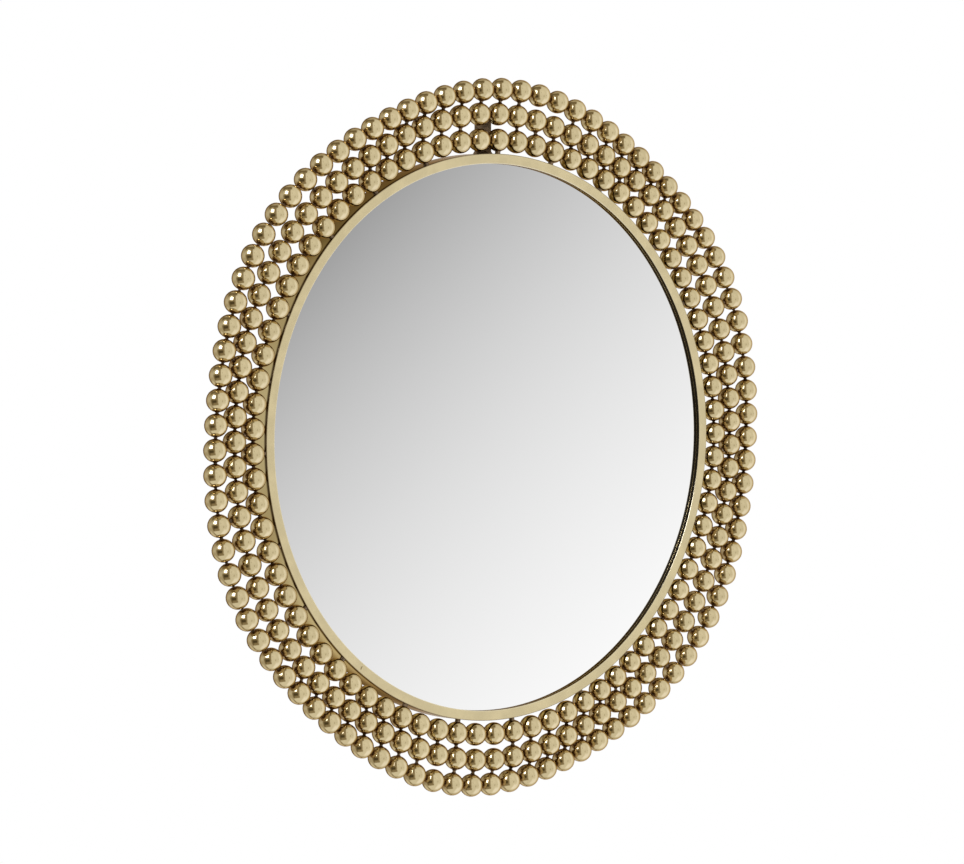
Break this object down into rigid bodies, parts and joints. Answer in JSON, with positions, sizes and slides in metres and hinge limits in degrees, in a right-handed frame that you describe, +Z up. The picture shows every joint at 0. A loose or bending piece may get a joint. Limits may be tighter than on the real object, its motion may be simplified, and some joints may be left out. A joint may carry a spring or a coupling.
{
  "type": "round wall mirror",
  "caption": "Round wall mirror in a shallow metal band, with rings of polished metal balls welded around it and a strap hanger behind.",
  "frame": {"origin": "centre of the mirror, midway between the fronts of the balls and the wall", "axes": "+Y towards the wall, so the mirror faces -Y; +Z up; +X to the right as seen from the front"},
  "size_m": [0.7796, 0.0341, 0.7922],
  "materials": {
    "polished_gold": "polished",
    "satin_gold": "satin",
    "weld_gold": "satin",
    "silvered_glass": "polished",
    "foam": "matte",
    "fibreboard": "matte",
    "plated_steel": "satin",
    "black_rubber": "matte"
  },
  "bodies": {
    "root": {"frame_band": "satin_gold", "mirror_glass": "silvered_glass", "foam_pad": "foam", "backing_board": "fibreboard", "board_clips": "plated_steel", "clip_screws": "plated_steel", "wall_bumpers": "black_rubber", "inner_ring_balls": "polished_gold", "middle_ring_balls": "polished_gold", "outer_ring_balls": "polished_gold", "inner_ring_welds": "weld_gold", "middle_ring_welds": "weld_gold", "outer_ring_welds": "weld_gold", "inner_middle_welds": "weld_gold", "middle_outer_welds": "weld_gold", "band_pegs": "weld_gold", "hanger_strap": "weld_gold", "strap_welds": "weld_gold"}
  },
  "joints": []
}
